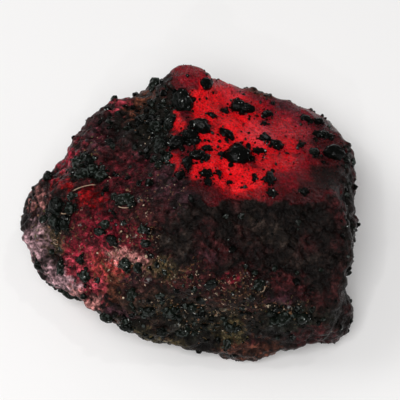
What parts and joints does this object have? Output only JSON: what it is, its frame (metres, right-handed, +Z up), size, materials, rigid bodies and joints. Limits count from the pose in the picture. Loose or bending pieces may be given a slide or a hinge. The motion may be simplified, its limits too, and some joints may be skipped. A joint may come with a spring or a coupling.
{
  "type": "raw ruby crystal",
  "caption": "Rough crimson ruby lump with a bright translucent patch and black amphibole crystals grown into its skin, resting on a flat base.",
  "frame": {"origin": "middle of the bounding box at the bottom, on the surface the stone rests on", "axes": "+Z up from the resting face; +X to the right and -Y towards the viewer who looks at the dark front face"},
  "size_m": [0.028, 0.0255, 0.0144],
  "materials": {
    "ruby": "raw corundum, crimson to dark maroon, dull to waxy, translucent red in one patch",
    "amphibole": "black-green grown crystals with a glassy lustre",
    "pale_grains": "small cream, tan and olive grains in the crust"
  },
  "bodies": {
    "root": {"ruby_crystal": "ruby"}
  },
  "joints": []
}
